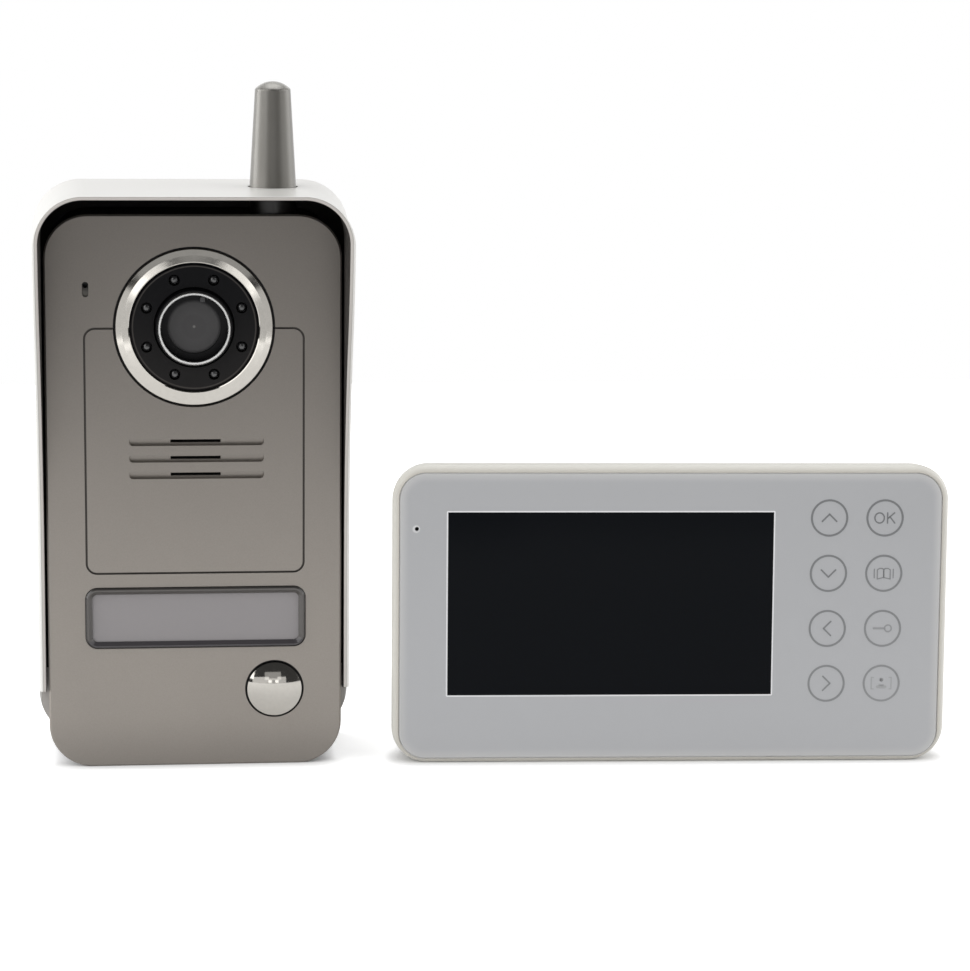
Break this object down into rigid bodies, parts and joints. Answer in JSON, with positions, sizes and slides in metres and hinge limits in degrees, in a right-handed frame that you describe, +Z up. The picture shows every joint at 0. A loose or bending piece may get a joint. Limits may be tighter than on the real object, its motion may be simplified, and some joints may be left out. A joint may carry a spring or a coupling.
{
  "type": "video intercom set",
  "caption": "Video intercom: door station with camera, call button, rain hood and aerial, and a leaning indoor monitor with touch keys and fold-out stand.",
  "frame": {"origin": "on the floor, under the middle of the set's bounding box", "axes": "+X to the viewer's right, along the row of the two units; +Y from the viewer to the back, out of the hood's wall plate; +Z up"},
  "size_m": [0.2656, 0.0596, 0.1971],
  "materials": {
    "panel_paint": "warm satin silver-grey paint with a fine metallic grain",
    "hood_paint": "near-white satin paint outside, black inside",
    "chrome": "polished",
    "silver": "satin",
    "black_gloss": "smooth and slightly glossy",
    "black_plastic": "fine matt",
    "lamp_clear": "clear smoky dome",
    "dark_glass": "dark and clear",
    "smoky_clear": "smoky translucent with bevelled edges",
    "clear_plastic": "clear",
    "card": "pale lavender-grey card",
    "aerial_plastic": "satin warm grey",
    "rubber": "matt",
    "steel": "zinc plated",
    "brass": "plain",
    "cloth": "fine black cloth",
    "circuit_board": "green solder mask",
    "relay_case": "blue moulded case",
    "terminal_green": "green moulded body",
    "housing_plastic": "cream-white satin plastic",
    "front_glass_grey": "printed grey-white on the back, glossy",
    "key_print": "grey print",
    "screen_black": "dark switched-off screen",
    "battery_wrap": "grey wrap"
  },
  "bodies": {
    "door_station": {"face_panel": "panel_paint", "camera_ring": "chrome", "lamp_cover": "black_gloss", "infrared_lamps": "lamp_clear", "lamp_board": "circuit_board", "camera_cup": "black_plastic", "lens_shroud": "black_plastic", "lens_ring": "silver", "lens_window": "dark_glass", "light_sensor": "silver", "lens_barrel": "black_plastic", "lens_holder": "black_plastic", "camera_board": "circuit_board", "name_frame": "smoky_clear", "name_window": "clear_plastic", "name_card": "card", "name_lamp_board": "circuit_board", "button_bush": "black_plastic", "button_spring": "steel", "button_switch": "black_plastic", "body_shell": "black_plastic", "rear_cover": "black_plastic", "cover_screws": "steel", "cable_grommet": "rubber", "rain_hood": "hood_paint", "hanging_studs": "steel", "locking_screw": "steel", "aerial_sleeve": "aerial_plastic", "aerial_rod": "brass", "aerial_nut": "brass", "door_speaker": "steel", "speaker_cloth": "cloth", "door_microphone": "silver", "microphone_boot": "rubber", "door_board": "circuit_board", "board_screws": "steel", "door_radio": "circuit_board", "lock_relay": "relay_case", "terminal_block": "terminal_green", "button_board": "circuit_board"},
    "call_button": {"call_button": "chrome"},
    "monitor": {"front_housing": "housing_plastic", "front_glass": "front_glass_grey", "key_rings": "key_print", "lcd_panel": "screen_black", "lcd_back_frame": "steel", "touch_board": "circuit_board", "monitor_microphone": "silver", "monitor_board": "circuit_board", "monitor_board_screws": "steel", "rear_housing": "housing_plastic", "housing_screws": "steel", "battery": "battery_wrap", "power_jack": "black_plastic", "power_switch": "black_plastic", "monitor_speaker": "black_plastic", "stand_pin": "steel"},
    "fold_stand": {"fold_stand": "housing_plastic"},
    "battery_door": {"battery_door": "housing_plastic"},
    "switch_knob": {"switch_knob": "black_plastic"}
  },
  "joints": [
    {"name": "button_press", "type": "slide", "parent": "door_station", "child": "call_button", "axis": [0, 1, 0], "range_m": [0, 0.0012], "stiffness_N_per_m": 800, "springref_m": -0.0005, "deforming": ["button_spring"]},
    {"name": "monitor_lift", "type": "slide", "parent": "door_station", "child": "monitor", "axis": [0, 0, 1], "range_m": [0, 0.12]},
    {"name": "stand_fold", "type": "hinge", "parent": "monitor", "child": "fold_stand", "pos_m": [0.05216, 0.00795, 0.05704], "axis": [0.9988, -0.0495, 0], "range_deg": [0, 40]},
    {"name": "battery_door_slide", "type": "slide", "parent": "monitor", "child": "battery_door", "axis": [0.9988, -0.0495, 0], "range_m": [0, 0.004]},
    {"name": "power_slide", "type": "slide", "parent": "monitor", "child": "switch_knob", "axis": [0.9988, -0.0495, 0], "range_m": [0, 0.0025]}
  ]
}
